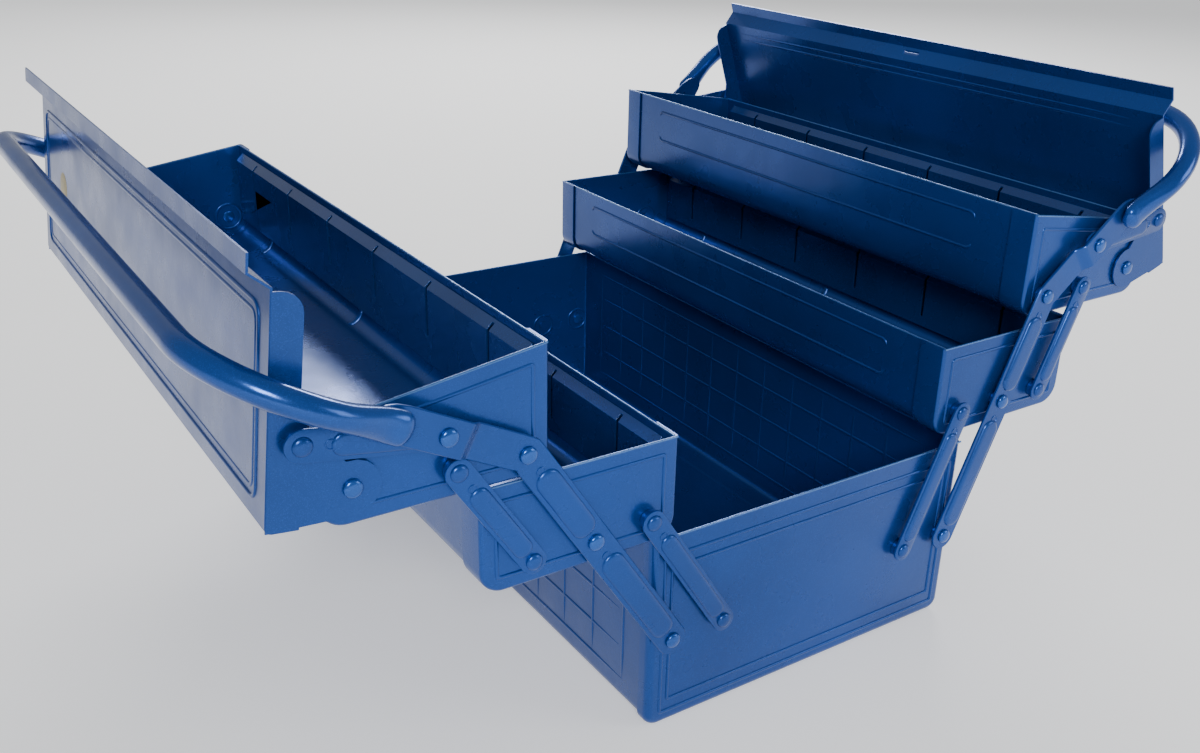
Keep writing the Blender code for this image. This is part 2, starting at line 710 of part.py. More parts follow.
def build_tray(label, tray, sizes, holes, pivot, side, home, tools):
    """A tray about the arm's pivot on it: wrap, two end panels and two divider rails."""
    wrap_half = HALF_LENGTH - SHEET - GAP
    name = label + "_" + tray + "_tray"
    pieces = [channel(inset_path(*sizes), side, wrap_half, name + "_wrap", home, NAVY)]
    for end_name, end in END_SIGN.items():
        panel_name = name + "_end_" + end_name
        path = channel_path(*sizes)
        pieces.append(end_panel(path, side, end, TRAY_FLANGE, holes, panel_name, home, tools))
    wall = 2 * SHEET + GAP
    rails = (("inner", sizes[0] + wall, 1, sizes[3]), ("outer", sizes[1] - wall, -1, sizes[4]))
    for where, face, facing, rim in rails:
        rail_name = name + "_" + where + "_rail"
        pieces.append(divider_rail(face, facing, rim, sizes[2], side, rail_name, home, tools))
    for piece in pieces:
        piece.location = (side * pivot.x * MM, 0, pivot.y * MM)


def build_side(label, home, tools):
    side = SIDE_SIGN[label]
    angle = REST_ANGLE[label]
    closing = SWING - angle
    base_pivot = Vector((ARM_PIVOT_U, ARM_PIVOT_Z))
    mid_pivot = base_pivot + direction(angle) * LOWER_REACH
    top_pivot = mid_pivot + direction(angle) * UPPER_REACH
    lid_pivot = top_pivot + Vector((lid_pivot_u(), LID_PIVOT_W))
    link_pivot = top_pivot + direction(angle + HANDLE_LEAN) * LID_LINK_PIVOT_REACH
    lid_angle = -(LID_OPEN_LEAN + LID_RATIO * closing)
    _, link_open_angle, link_turn = lid_link_motion()
    lid_link_angle = link_open_angle + link_turn * closing
    mid, top = tray_sizes()

    def stand(piece, pivot, turn=0.0):
        piece.location = (side * pivot.x * MM, 0, pivot.y * MM)
        piece.rotation_euler = (0, side * turn, 0)

    mid_holes = [(0, 0), (-LOWER_LINK_INSET, 0), (UPPER_LINK_OFFSET, 0)]
    top_holes = [(0, 0), (UPPER_LINK_OFFSET, 0), (lid_pivot_u(), LID_PIVOT_W)]
    build_tray(label, "mid", mid, mid_holes, mid_pivot, side, home, tools)
    build_tray(label, "top", top, top_holes, top_pivot, side, home, tools)
    stand(build_handle(label, side, home, tools), base_pivot, angle)
    stand(build_lid(label, side, home, tools), lid_pivot, lid_angle)
    lower_pivot = base_pivot - Vector((LOWER_LINK_INSET, 0))
    upper_pivot = mid_pivot + Vector((UPPER_LINK_OFFSET, 0))
    inside = -SHEET - GAP
    arm_head = ARM_LAYER + ARM_SHEET + GAP
    arm_collar = (GAP, ARM_LAYER - GAP)
    ear_head = EAR_LAYER + SHEET + GAP
    handle_head = HANDLE_LAYER + ARM_SHEET + GAP
    link_collar = (LID_LINK_LAYER + LINK_SHEET + GAP, HANDLE_LAYER - GAP)
    for end_name, end in END_SIGN.items():
        tag = "_" + end_name
        lower = pinned_link(label + "_lower_link" + tag, LOWER_REACH, end, home, tools)
        stand(lower, lower_pivot, angle)
        upper = pinned_link(label + "_upper_link" + tag, UPPER_REACH, end, home, tools)
        stand(upper, upper_pivot, angle)
        stand(lid_link(label + "_lid_link" + tag, end, home, tools), link_pivot, lid_link_angle)
        for joint, pivot in (("base", base_pivot), ("mid_tray", mid_pivot), ("top_tray", top_pivot)):
            rivet(label + "_arm_rivet_" + joint + tag, pivot.x, pivot.y, end, inside,
                  arm_collar, arm_head, side, home)
        rivet(label + "_lid_rivet" + tag, lid_pivot.x, lid_pivot.y, end, inside, None,
              ear_head, side, home)
        rivet(label + "_lid_link_rivet" + tag, link_pivot.x, link_pivot.y, end,
              LID_LINK_LAYER - GAP, link_collar, handle_head, side, home)


def main():
    clear_scene()
    home = new_collection("cantilever_toolbox")
    tools = new_collection("cutters")
    build_base(home, tools)
    for label in SIDE_SIGN:
        build_side(label, home, tools)


main()
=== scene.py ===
"""Looks for a cantilever steel toolbox: painted sheet, pressed lines, links, rivets and handles."""

import json
import math

import bmesh
import bpy
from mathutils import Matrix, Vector


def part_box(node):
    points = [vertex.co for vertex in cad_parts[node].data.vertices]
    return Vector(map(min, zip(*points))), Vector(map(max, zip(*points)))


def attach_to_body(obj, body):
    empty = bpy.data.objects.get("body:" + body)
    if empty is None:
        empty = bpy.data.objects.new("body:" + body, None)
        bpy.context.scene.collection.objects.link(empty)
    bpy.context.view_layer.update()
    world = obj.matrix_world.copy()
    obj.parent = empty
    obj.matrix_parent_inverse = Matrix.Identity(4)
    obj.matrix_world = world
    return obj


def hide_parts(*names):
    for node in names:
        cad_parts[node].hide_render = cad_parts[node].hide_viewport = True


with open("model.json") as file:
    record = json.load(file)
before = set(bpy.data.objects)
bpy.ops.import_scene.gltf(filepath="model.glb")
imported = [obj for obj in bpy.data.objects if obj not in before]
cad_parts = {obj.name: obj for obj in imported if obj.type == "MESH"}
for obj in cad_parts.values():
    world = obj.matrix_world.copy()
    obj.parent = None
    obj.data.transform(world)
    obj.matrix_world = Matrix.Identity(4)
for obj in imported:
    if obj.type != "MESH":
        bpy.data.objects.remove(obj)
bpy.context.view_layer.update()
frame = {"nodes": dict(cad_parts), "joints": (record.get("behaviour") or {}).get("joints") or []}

# Lengths are in millimetres. Places come from the frame; plate sizes, listed here, repeat the
# CAD's.
MM = 0.001
SIGN = {"left": -1, "right": 1}
ENDS = {"near": -1, "far": 1}
JOINTS = {joint["name"]: joint for joint in frame["joints"]}
NODES = frame["nodes"]
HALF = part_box("base_end_far")[1][1] / MM      # middle to the outer face of an end panel
SHEET = 1.0
GAP = 0.3                                     # clearance between stacked plates
TRAY_CORNER = 12.0                            # bend radius of a tray's sheet
BASE_CORNER = 8.0
ROOF = math.tan(math.radians(8.5))            # fall of a top tray's rim, outward
TOP_PAN_BACK = 0.35                           # a top tray's end panel sits back by this

ARM_SHEET = 1.8                               # plate thicknesses
LINK_SHEET = 1.6
ARM_LAYER = 3.6                               # layers: out from HALF to a plate's inner face
LINK_LAYER = 3.7
LID_LINK_LAYER = 4.3
HANDLE_LAYER = 7.6
FLARED_LAYER = 19.0                           # the tube's middle, before its bend
EAR_LAYER = 0.4
ARM_HALF = 8.5                                # half widths of the plates
LINK_HALF = 6.5
LID_LINK_HALF = 7.2
SHANK = 2.0                                   # rivets: radii and heights
HEAD_RADIUS = 4.25
HEAD_HEIGHT = 2.0
TAIL_RADIUS = 3.8
TAIL_HEIGHT = 1.2
COLLAR = 5.2
LEAN = math.radians(29.6)                     # the handle's turn outward from the arm
JOGGLE = (28.5, 35.5)                         # reach, past the knee, of the step outward
TUBE_START = 74.0
TUBE_RADIUS = 6.0
GRIP_REACH = 149.0                            # the grip's middle, past the knee
HANDLE_BEND = 46.0                            # bend radius of the tube's middle line
ARM_TAIL = -SHEET - GAP
ARM_COLLAR = (GAP, ARM_LAYER - GAP)

# The lid and its link. LID_LINK_TURN is the link's turn for each radian that the arm closes.
FULL_SWING = math.radians(33.2)               # arm angle, fully open, from upright
LID_RATIO = 1.14
LID_OPEN_LEAN = math.radians(6.5)
LID_FACE = 35.5
LID_PANEL_TOP = 85.0
LID_LINK_LENGTH = 60.19
LID_LINK_OPEN = math.radians(80.996)
LID_LINK_TURN = 0.30957


# ---------------------------------------------------------------- materials

def new_material(name):
    made = bpy.data.materials.new(name)
    made.use_nodes = True
    return made, made.node_tree.nodes, made.node_tree.links, made.node_tree.nodes["Principled BSDF"]


def noise(nodes, links, place, scale, detail=2.0, rough=0.5):
    node = nodes.new("ShaderNodeTexNoise")
    node.inputs["Scale"].default_value = scale
    node.inputs["Detail"].default_value = detail
    node.inputs["Roughness"].default_value = rough
    links.new(place, node.inputs["Vector"])
    return node.outputs["Fac"]


def bump(nodes, links, height, strength, distance):
    node = nodes.new("ShaderNodeBump")
    node.inputs["Strength"].default_value = strength
    node.inputs["Distance"].default_value = distance
    links.new(height, node.inputs["Height"])
    return node


def ramp(nodes, links, value, stops):
    node = nodes.new("ShaderNodeValToRGB")
    band = node.color_ramp
    while len(band.elements) < len(stops):
        band.elements.new(0.5)
    for element, (place, colour) in zip(band.elements, stops):
        element.position = place
        element.color = (*colour, 1.0)
    links.new(value, node.inputs["Fac"])
    return node.outputs["Color"]


def spread(nodes, links, value, low, high, out_low, out_high):
    node = nodes.new("ShaderNodeMapRange")
    for key, number in zip(("From Min", "From Max", "To Min", "To Max"),
                           (low, high, out_low, out_high)):
        node.inputs[key].default_value = number
    links.new(value, node.inputs["Value"])
    return node.outputs["Result"]


def blend_colour(nodes, links, mask, first, second):
    node = nodes.new("ShaderNodeMix")
    node.data_type = "RGBA"
    links.new(mask, node.inputs["Factor"])
    links.new(first, node.inputs["A"])
    node.inputs["B"].default_value = (*second, 1.0)
    return node.outputs["Result"]


def enamel(name, deep, bright, metallic, rough, coat, scuff_and_highlight, scuff_and_highlight_amount=0.22):
    """Sprayed metallic enamel: cloudy shade, fine flake, orange peel and sparse scuffs; on the rim
    hems the light streaks are painted highlight.
    """
    made, nodes, links, shader = new_material(name)
    place = nodes.new("ShaderNodeTexCoord").outputs["Object"]
    cloud = noise(nodes, links, place, 9.0, 3.0)
    base = ramp(nodes, links, cloud, [(0.30, deep), (0.72, bright)])
    flake = noise(nodes, links, place, 2600.0, 1.0)
    glint = spread(nodes, links, flake, 0.56, 0.76, 0.0, 0.45)
    lit = tuple(min(1.0, 2.0 * part + 0.01) for part in bright)
    base = blend_colour(nodes, links, glint, base, lit)
    stretched = nodes.new("ShaderNodeMapping")
    stretched.inputs["Scale"].default_value = (30.0, 8.0, 30.0)
    stretched.inputs["Rotation"].default_value = (0.4, 0.2, 0.9)
    links.new(place, stretched.inputs["Vector"])
    streak = noise(nodes, links, stretched.outputs["Vector"], 9.0, 6.0, 0.7)
    scuff_and_highlight_mask = spread(nodes, links, streak, 0.66, 0.80, 0.0, scuff_and_highlight_amount)
    base = blend_colour(nodes, links, scuff_and_highlight_mask, base, scuff_and_highlight)
    links.new(base, shader.inputs["Base Color"])
    haze = noise(nodes, links, place, 38.0, 4.0)
    links.new(spread(nodes, links, haze, 0.3, 0.7, rough - 0.05, rough + 0.07),
              shader.inputs["Roughness"])
    shader.inputs["Metallic"].default_value = metallic
    shader.inputs["Coat Weight"].default_value = coat
    shader.inputs["Coat Roughness"].default_value = 0.16
    peel = noise(nodes, links, place, 420.0, 2.0)
    wave = noise(nodes, links, place, 34.0, 2.0)
    fine = bump(nodes, links, peel, 0.10, 0.0004)
    broad = bump(nodes, links, wave, 0.16, 0.0016)
    links.new(fine.outputs["Normal"], broad.inputs["Normal"])
    links.new(broad.outputs["Normal"], shader.inputs["Normal"])
    return made


OUTER = enamel("outer_enamel", (0.002, 0.040, 0.200), (0.003, 0.055, 0.275), 0.58, 0.28, 0.15,
               (0.05, 0.16, 0.36))
# A darker copy of the outer enamel: painted shade, on the base's wrap, the lines on the walls and
# the gussets; the paint itself is the same all over.
SHADED_ENAMEL = enamel("enamel_darkened_for_shade", (0.002, 0.036, 0.180), (0.003, 0.050, 0.250), 0.56, 0.30, 0.12,
               (0.04, 0.13, 0.30))
# A much lighter copy of the enamel, with heavy light streaks: a painted highlight on the rolled
# hems along the rims.
RIM_HIGHLIGHT_ENAMEL = enamel("rim_enamel_painted_highlight", (0.03, 0.12, 0.36), (0.07, 0.19, 0.46), 0.6, 0.28, 0.4,
              (0.22, 0.34, 0.55), 0.8)
# A darker copy of the enamel for the slotted rails inside the trays: painted shade.
RAIL_SHADED_ENAMEL = enamel("rail_enamel_darkened_for_shade", (0.003, 0.036, 0.160), (0.005, 0.052, 0.225), 0.55, 0.26, 0.5,
              (0.05, 0.15, 0.32), 0.5)
RIVET = enamel("rivet_enamel", (0.002, 0.056, 0.27), (0.006, 0.085, 0.38), 0.62, 0.22, 0.4,
               (0.12, 0.24, 0.42), 0.6)
TUBE = enamel("tube_enamel", (0.002, 0.046, 0.23), (0.004, 0.066, 0.32), 0.6, 0.20, 0.25,
              (0.08, 0.20, 0.42), 0.5)


def foil():
    """A blank foil disc, brushed round, with faded patches."""
    made, nodes, links, shader = new_material("foil_label")
    place = nodes.new("ShaderNodeTexCoord").outputs["Object"]
    cloud = noise(nodes, links, place, 260.0, 4.0)
    links.new(ramp(nodes, links, cloud, [(0.3, (0.30, 0.25, 0.13)), (0.7, (0.52, 0.45, 0.27))]),
              shader.inputs["Base Color"])
    links.new(spread(nodes, links, cloud, 0.3, 0.7, 0.35, 0.55), shader.inputs["Roughness"])
    shader.inputs["Metallic"].default_value = 0.5
    grain = bump(nodes, links, noise(nodes, links, place, 900.0), 0.12, 0.0003)
    links.new(grain.outputs["Normal"], shader.inputs["Normal"])
    return made


def floor_material():
    made, nodes, links, shader = new_material("studio_floor")
    place = nodes.new("ShaderNodeTexCoord").outputs["Object"]
    cloud = noise(nodes, links, place, 1.2, 3.0)
    links.new(ramp(nodes, links, cloud, [(0.2, (0.86, 0.86, 0.86)), (0.8, (0.89, 0.89, 0.89))]),
              shader.inputs["Base Color"])
    shader.inputs["Roughness"].default_value = 0.8
    shader.inputs["Emission Color"].default_value = (1.0, 1.0, 1.0, 1.0)
    shader.inputs["Emission Strength"].default_value = 0.36
    return made


FOIL = foil()


# ---------------------------------------------------------------- mesh helpers

POINT = 0.004                                 # radius that closes a turned solid
RIDGE_SINK = 0.12                             # how far a pressed line's foot lies in the sheet
RIDGE_SECTION = [(-math.cos(math.pi * k / 6), math.sin(math.pi * k / 6)) for k in range(7)]
# (inset, height) up a bead's side, both as shares of the bead's height
BEAD_SECTION = ((0, -0.1), (0.18, 0.3), (0.5, 0.62), (1.0, 0.85), (1.7, 0.97), (2.4, 1.0))
# (radius, height) over a punched hole's lip and down to its floor
EYELET_PROFILE = ((2.5, -0.1), (2.45, 0.2), (2.2, 0.34), (1.9, 0.3), (1.7, 0.05),
                  (1.2, 0.03), (POINT, 0.03))


def finish_mesh(made, name, material, smooth):
    bmesh.ops.remove_doubles(made, verts=made.verts, dist=0.002 * MM)
    bmesh.ops.recalc_face_normals(made, faces=made.faces)
    mesh = bpy.data.meshes.new(name)
    made.to_mesh(mesh)
    made.free()
    mesh.shade_smooth()
    mesh.set_sharp_from_angle(angle=math.radians(smooth))
    mesh.materials.append(material)
    piece = bpy.data.objects.new(name, mesh)
    bpy.context.scene.collection.objects.link(piece)
    return piece


def soften(piece, width):
    step = piece.modifiers.new("soft_edges", "BEVEL")
    step.width = width * MM
    step.segments = 2
    step.limit_method = "ANGLE"
    step.angle_limit = math.radians(40.0)
    step.harden_normals = True


def attach(piece, body, slot, *nodes):
    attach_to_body(piece, body)
    if nodes:
        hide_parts(*nodes)


def arc(centre, radius, start, end, steps):
    turn = (end - start) / steps
    angles = [start + turn * k for k in range(steps + 1)]
    return [(centre[0] + radius * math.cos(t), centre[1] + radius * math.sin(t)) for t in angles]


def direction(angle):
    return Vector((math.sin(angle), math.cos(angle)))


class Place:
    """A frame at a pivot: u outward, y along the box, w along the given angle; millimetres."""

    def __init__(self, side, pivot, angle=0.0):
        self.sign = SIGN[side]
        self.pivot = pivot
        self.c = math.cos(angle)
        self.s = math.sin(angle)

    def __call__(self, u, y, w):
        out = self.pivot.x + u * self.c + w * self.s
        up = self.pivot.y - u * self.s + w * self.c
        return Vector((self.sign * out * MM, y * MM, up * MM))


def spot(x, y, z):
    """A point of the frame, given in millimetres."""
    return Vector((x * MM, y * MM, z * MM))


def pivot(side, joint):
    """A joint's place: distance out from the middle, and height."""
    place = JOINTS[side + "_" + joint]["pos_m"]
    return Vector((abs(place[0]) / MM, place[2] / MM))


def arm_pivots(side):
    """The long arm's rivets: at the base, the mid tray and the top tray."""
    return [pivot(side, joint) for joint in ("arm_swing", "mid_tray_pivot", "top_tray_pivot")]


def heading(first, second):
    along = second - first
    return math.atan2(along.x, along.y)


def closing(side):
    """How far the arm has turned from fully open, in the pose that the frame rests in."""
    low, _, top = arm_pivots(side)
    return FULL_SWING - heading(low, top)


def lid_place(side):
    """A frame at the lid's hinge: u out of the lid's face, w up its panel."""
    turn = -(LID_OPEN_LEAN + LID_RATIO * closing(side))
    return Place(side, pivot(side, "lid_hinge"), turn)


def loft(made, rows, closed_rows=False, closed_points=True, caps=True):
    """Skin rows of points; each row has the same number of points."""
    rings = [[made.verts.new(point) for point in row] for row in rows]
    count = len(rings[0])
    pairs = list(zip(rings, rings[1:]))
    if closed_rows:
        pairs.append((rings[-1], rings[0]))
    for low, high in pairs:
        for k in range(count if closed_points else count - 1):
            n = (k + 1) % count
            made.faces.new((low[k], low[n], high[n], high[k]))
    if caps and not closed_rows:
        made.faces.new(rings[0])
        made.faces.new(rings[-1])


def circle(radius, steps):
    """Points round the origin, as (a, b) pairs."""
    return [(radius * math.cos(2 * math.pi * k / steps), radius * math.sin(2 * math.pi * k / steps))
            for k in range(steps)]


def turned(made, at, end, reach, profile):
    """A turned solid about w = reach; profile holds (radius, distance out) pairs."""
    loft(made, [[at(u, end * out, w + reach) for u, w in circle(max(radius, POINT), 28)]
                for radius, out in profile])


def dome(radius, foot, height):
    """Profile of a domed head on a short upright rim."""
    rim = 0.22
    points = [(radius, foot), (radius, foot + rim * height)]
    for k in range(1, 7):
        turn = math.pi / 2 * k / 6
        rise = rim + (1 - rim) * math.sin(turn)
        points.append((radius * math.cos(turn) ** 0.8, foot + height * rise))
    return points


def stadium(low, high, radius, steps):
    """Outline of a link: two half circles joined by straight sides."""
    base = arc((0, low), radius, math.pi, 2 * math.pi, steps)
    return base + arc((0, high), radius, 0, math.pi, steps)


def slab(made, at, end, outline, near, far):
    """A plate with eased edges, cut to an outline in u and w."""
    ease = 0.35
    rows = []
    for inset, out in ((ease, near), (0.3 * ease, near + 0.3 * ease), (0, near + ease),
                       (0, far - ease), (0.3 * ease, far - 0.3 * ease), (ease, far)):
        rows.append([at(u, end * out, w) for u, w in inset_outline(outline, inset)])
    loft(made, rows)


def inset_outline(outline, amount):
    """Move each point of a closed outline inward along the mitre of its two edges."""
    if amount == 0:
        return outline
    count = len(outline)
    area = sum(outline[k - 1][0] * outline[k][1] - outline[k][0] * outline[k - 1][1]
               for k in range(count))
    turn = 1 if area > 0 else -1
    moved = []
    for k in range(count):
        here = Vector(outline[k])
        before = here - Vector(outline[k - 1])
        after = Vector(outline[(k + 1) % count]) - here
        if before.length < 1e-6:
            before = after
        if after.length < 1e-6:
            after = before
        before.normalize()
        after.normalize()
        first = Vector((-before.y, before.x)) * turn
        second = Vector((-after.y, after.x)) * turn
        mitre = first + second
        size = mitre.length_squared
        moved.append(tuple(here + mitre * (2 * amount / size if size > 0.3 else 0.5 * amount)))
    return moved


def bead(made, at, end, low, high, radius, foot, height):
    """A long raised pressing between two rivets."""
    rows = []
    for inset, out in BEAD_SECTION:
        ring = stadium(low, high, radius - inset * height, 10)
        rows.append([at(u, end * (foot + out * height), w) for u, w in ring])
    loft(made, rows)


def eyelet(made, at, end, reach, foot):
    """The raised lip of a small hole punched in a link."""
    rows = []
    for radius, out in EYELET_PROFILE:
        rows.append([at(u, end * (foot + out), reach + w) for u, w in circle(radius, 20)])
    loft(made, rows)


def ridge(made, points, normal, half_width, height, closed=False):
    """A low pressed line along points in metres on a face with the given outward normal."""
    normal = normal.normalized()
    count = len(points)
    rows = []
    for k, point in enumerate(points):
        if closed:
            before, after = points[k - 1], points[(k + 1) % count]
        else:
            before, after = points[max(k - 1, 0)], points[min(k + 1, count - 1)]
        first = (point - before).normalized() if (point - before).length > 1e-9 else None
        second = (after - point).normalized() if (after - point).length > 1e-9 else None
        first = first or second
        second = second or first
        along = (first + second).normalized()
        across = along.cross(normal)
        stretch = 1 / max(along.dot(second), 0.5)
        scale = half_width * MM * stretch
        taper = 1.0 if closed or 0 < k < count - 1 else 0.35
        rows.append([point + across * scale * a * taper
                     + normal * (height * b * taper - RIDGE_SINK) * MM for a, b in RIDGE_SECTION])
    loft(made, rows, closed_rows=closed)


def rounded(corners, radius, steps):
    """A closed outline with its corners rounded; corners are (a, b) pairs in order."""
    result = []
    count = len(corners)
    for k in range(count):
        here = Vector(corners[k])
        before = (Vector(corners[k - 1]) - here).normalized()
        after = (Vector(corners[(k + 1) % count]) - here).normalized()
        start = here + before * radius
        stop = here + after * radius
        for n in range(steps + 1):
            t = n / steps
            result.append(tuple(start * (1 - t) ** 2 + here * 2 * t * (1 - t) + stop * t * t))
    return result


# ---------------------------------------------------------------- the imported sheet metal

def dress(name, material, width):
    """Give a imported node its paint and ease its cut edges."""
    piece = NODES[name]
    mesh = piece.data
    mesh.materials.clear()
    mesh.materials.append(material)
    if "custom_normal" in mesh.attributes:
        mesh.attributes.remove(mesh.attributes["custom_normal"])
    mesh.shade_smooth()
    weld = piece.modifiers.new("weld", "WELD")
    weld.merge_threshold = 0.002 * MM
    soften(piece, width)


for name in NODES:
    if name.endswith("_rail"):
        # The rails take the darker rail enamel: painted shade.
        dress(name, RAIL_SHADED_ENAMEL, 0.22)
    elif name.endswith("_wrap"):
        # The base's wrap takes the darker enamel: painted shade.
        dress(name, SHADED_ENAMEL if name == "base_wrap" else OUTER, 0.3)
    elif name.endswith("_lid"):
        dress(name, OUTER, 0.35)


# ---------------------------------------------------------------- end panels and pressed lines

TRAYS = ("mid", "top")
HEM_RADIUS = 0.62
HEM_DROP = 0.45                               # a hem's middle below the rim
# Each ring of lines is (in from the sides, up from the bottom, down from the rim, half width).
TRAY_RINGS = ((8.0, 8.0, 8.0, 1.0),)
BASE_RINGS = ((8.0, 8.0, 11.0, 1.05), (12.5, 15.5, 18.0, 0.9))
PANS = {
    "base": dict(corner=BASE_CORNER, flange=9.0, fold=4.2, slope=0.0, set_back=0.0,
                 rings=BASE_RINGS, height=0.85),
    "mid": dict(corner=TRAY_CORNER, flange=18.0, fold=2.0, slope=0.0, set_back=0.0,
                rings=TRAY_RINGS, height=0.8),
    "top": dict(corner=TRAY_CORNER, flange=18.0, fold=2.0, slope=ROOF, set_back=TOP_PAN_BACK,
                rings=TRAY_RINGS, height=0.62),
}


def line_piece(name, body, slot, material, lines):
    """One piece from pressed lines, each given as points, face normal and shape."""
    made = bmesh.new()
    for points, normal, shape in lines:
        ridge(made, points, normal, **shape)
    attach(finish_mesh(made, name, material, 60.0), body, slot)


def sides_of(box, sign):
    """The box's two faces in x, the one nearer the middle first on either side of the box."""
    return sorted((box[0][0] / MM, box[1][0] / MM), key=lambda x: sign * x)


def pan_outline(box, corner, slope, sign):
    """U-shaped outline of an end panel in x and z, from the middle side round to the outer."""
    x0, x1 = sides_of(box, sign)
    low, rim = box[0][2] / MM, box[1][2] / MM
    width = abs(x1 - x0)
    run = [(0, rim), (0, (rim + low + corner) / 2)]
    run += arc((corner, low + corner), corner, math.pi, 1.5 * math.pi, 10)
    run += arc((width - corner, low + corner), corner, 1.5 * math.pi, 2 * math.pi, 10)
    run += [(width, (rim + low + corner) / 2), (width, rim - slope * width)]
    return [(x0 + sign * u, z) for u, z in run], x0, width, low, rim


def outline_normals(outline, sign):
    """Outward normals of the open outline; its two ends stand upright."""
    normals = []
    last = len(outline) - 1
    for k in range(last + 1):
        before = Vector(outline[max(k - 1, 0)])
        after = Vector(outline[min(k + 1, last)])
        along = (after - before).normalized()
        normals.append(Vector((along.y, -along.x)) * sign)
    normals[0] = Vector((-sign, 0))
    normals[-1] = Vector((sign, 0))
    return normals


def pan_section(face, flange, fold):
    """(inset, y) round the sheet: outer fold, flange with an eased lip, and inner fold."""
    ease = 0.3
    lip = HALF - flange
    inner = fold - SHEET
    turns = [math.pi / 2 * k / 6 for k in range(7)]
    section = [(fold * (1 - math.sin(turn)), face - fold * (1 - math.cos(turn))) for turn in turns]
    section += [(0.0, lip + ease), (ease, lip), (SHEET - ease, lip), (SHEET, lip + ease)]
    section += [(SHEET + inner * (1 - math.sin(turn)), face - SHEET - inner * (1 - math.cos(turn)))
                for turn in reversed(turns)]
    return section


def pan(node, body, end_name, sign, corner, flange, fold, slope, set_back, rings, height):
    """An end panel: plate, rounded fold, flange, hem and square-cornered pressed lines."""
    end = ENDS[end_name]
    outline, x0, width, low, rim = pan_outline(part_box(node), corner, slope, sign)
    face = HALF - set_back
    section = pan_section(face, flange, fold)
    made = bmesh.new()
    grid = []
    for (x, z), normal in zip(outline, outline_normals(outline, sign)):
        row = []
        for inset, y in section:
            px, pz = x - normal.x * inset, z - normal.y * inset
            # The flange's top edge follows the rim's slope all the way through the sheet.
            if normal.y == 0 and pz > max(rim - slope * width - 0.01, rim - 0.6 * (rim - low)):
                pz = rim - slope * abs(px - x0)
            row.append(made.verts.new(spot(px, end * y, pz)))
        grid.append(row)
    for first, second in zip(grid, grid[1:]):
        for k in range(len(section) - 1):
            made.faces.new((first[k], first[k + 1], second[k + 1], second[k]))
    made.faces.new([row[0] for row in grid])
    made.faces.new([row[-1] for row in grid])
    made.faces.new(grid[0])
    made.faces.new(grid[-1])
    made.faces.new((grid[0][0], grid[-1][0], grid[-1][-1], grid[0][-1]))
    attach(finish_mesh(made, "pressed_" + node, OUTER, 40.0), body, "outer_paint", node)
    lines = []
    for side_in, low_in, top_in, half_width in rings:
        far_side = width - side_in
        corners = [(side_in, low + low_in), (far_side, low + low_in),
                   (far_side, rim - top_in - slope * far_side),
                   (side_in, rim - top_in - slope * side_in)]
        ring = [spot(x0 + sign * u, end * face, z) for u, z in rounded(corners, 1.6, 3)]
        lines.append((ring, Vector((0, end, 0)),
                      {"closed": True, "half_width": half_width, "height": height}))
    line_piece(node + "_lines", body, "outer_paint", OUTER, lines)
    hem = []
    for k in range(9):
        u = 0.6 + (width - 1.2) * k / 8
        hem.append(spot(x0 + sign * u, end * (face - 0.5), rim - HEM_DROP - slope * u))
    hem_piece(node + "_hem", body, [hem])


def hem_piece(name, body, runs):
    """Thin rolled edges in a much lighter enamel: a painted highlight along the rims."""
    made = bmesh.new()
    for run in runs:
        along = (run[-1] - run[0]).normalized()
        first = along.orthogonal().normalized()
        second = along.cross(first)
        loft(made, [[point + (first * a + second * b) * HEM_RADIUS * MM
                     for a, b in circle(1.0, 10)] for point in run])
    attach(finish_mesh(made, name, RIM_HIGHLIGHT_ENAMEL, 60.0), body, "outer_paint")


for end_name in ENDS:
    pan("base_end_" + end_name, "base", end_name, 1, **PANS["base"])
    for side, sign in SIGN.items():
        for tray in TRAYS:
            body = side + "_" + tray + "_tray"
            pan(body + "_end_" + end_name, body, end_name, sign, **PANS[tray])


def along_box(reach):
    """Thirteen even steps along the box from -reach to reach."""
    return [-reach + 2 * reach * k / 12 for k in range(13)]


def wrap_hems(node, body, slope, sign):
    """Rolled edges along both rims of a wrap."""
    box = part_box(node)
    x0, x1 = sides_of(box, sign)
    rim = box[1][2] / MM
    low_rim = rim - slope * abs(x1 - x0)
    middle = SHEET / 2
    runs = [[spot(x, y, z - HEM_DROP) for y in along_box(box[1][1] / MM)]
            for x, z in ((x0 + sign * middle, rim), (x1 - sign * middle, low_rim))]
    hem_piece(node + "_hems", body, runs)


wrap_hems("base_wrap", "base", 0.0, 1)
for side, sign in SIGN.items():
    for tray in TRAYS:
        wrap_hems(side + "_" + tray + "_tray_wrap", side + "_" + tray + "_tray",
                  PANS[tray]["slope"], sign)


def wall_lines(side, tray):
    """Two long lines with hooked ends on a tray's inner wall, seen from the middle."""
    body = side + "_" + tray + "_tray"
    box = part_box(body + "_wrap")
    face = sides_of(box, SIGN[side])[0]
    rim = box[1][2] / MM
    lines = []
    for drop, hook in ((10.0, -1), (32.0, 1)):
        level = rim - drop
        path = [(-161, level + hook * 3.0), (-160.2, level + hook * 1.2), (-158, level)]
        path += [(-150 + 300 * k / 12, level) for k in range(13)]
        path += [(158, level), (160.2, level + hook * 1.2), (161, level + hook * 3)]
        lines.append(([spot(face, y, z) for y, z in path], Vector((-SIGN[side], 0, 0)),
                      {"half_width": 1.0, "height": 0.85}))
    # The wall lines take the darker enamel: painted shade.
    line_piece(body + "_wall_lines", body, "inner_paint", SHADED_ENAMEL, lines)


for side in SIGN:
    for tray in TRAYS:
        wall_lines(side, tray)


